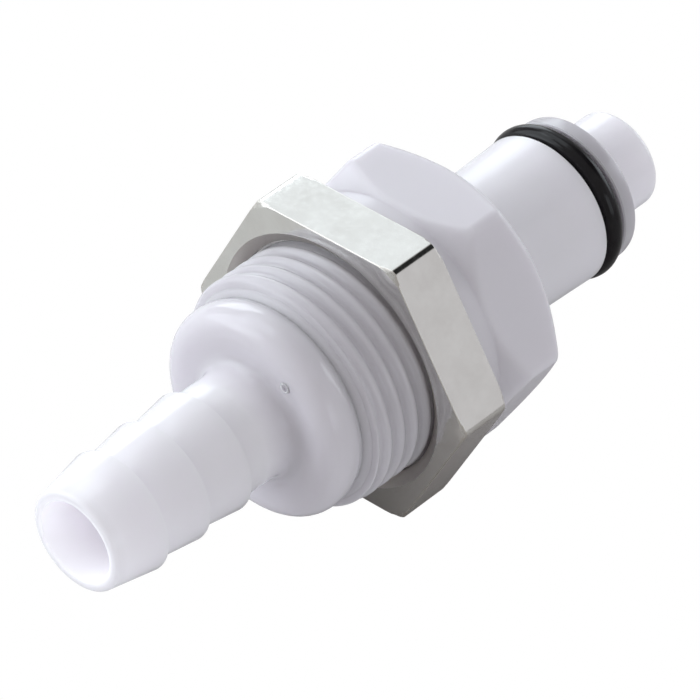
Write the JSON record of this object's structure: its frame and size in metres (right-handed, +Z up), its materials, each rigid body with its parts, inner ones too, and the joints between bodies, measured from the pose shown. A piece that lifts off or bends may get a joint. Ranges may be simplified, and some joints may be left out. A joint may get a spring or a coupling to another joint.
{
  "type": "panel-mount quick-disconnect hose fitting",
  "caption": "Panel or hull fitting: hex flange and jam nut clamp the wall, hose barb on one end, O-ring sealed push-in nose with a spring shut-off valve on the other.",
  "frame": {"origin": "on the fitting's axis, at the flange face that seats on the panel", "axes": "+X along the axis towards the push-in nose, -X towards the hose barb, +Z up, one flange flat facing up to within 1.5 degrees"},
  "size_m": [0.0533, 0.024, 0.0216],
  "materials": {
    "white_acetal": "glossy, slightly translucent",
    "nickel_plate": "bright nickel plating over turned brass",
    "black_rubber": "smooth, lightly greased",
    "spring_steel": "drawn stainless wire"
  },
  "bodies": {
    "fitting": {"main_body": "white_acetal", "hose_barb": "white_acetal", "spring_guide": "white_acetal", "nose_o_ring": "black_rubber", "valve_spring": "spring_steel"},
    "nut_turner": {"tail_o_ring": "black_rubber"},
    "nut": {"jam_nut": "nickel_plate"},
    "valve": {"valve_poppet": "white_acetal", "valve_o_ring": "black_rubber"}
  },
  "joints": [
    {"name": "nut_spin", "type": "hinge", "parent": "fitting", "child": "nut_turner", "pos_m": [0, 0, 0], "axis": [-1, 0, 0], "range_deg": [0, 1330]},
    {"name": "nut_travel", "type": "slide", "parent": "nut_turner", "child": "nut", "axis": [-1, 0, 0], "range_m": [0, 0.00475]},
    {"name": "valve_slide", "type": "slide", "parent": "fitting", "child": "valve", "axis": [-1, 0, 0], "range_m": [0, 0.0032], "stiffness_N_per_m": 600, "springref_m": -0.004, "deforming": ["valve_spring"]}
  ],
  "couplings": [
    {"joint": "nut_travel", "follows": "nut_spin", "m_per_rad": 0.00020213}
  ]
}
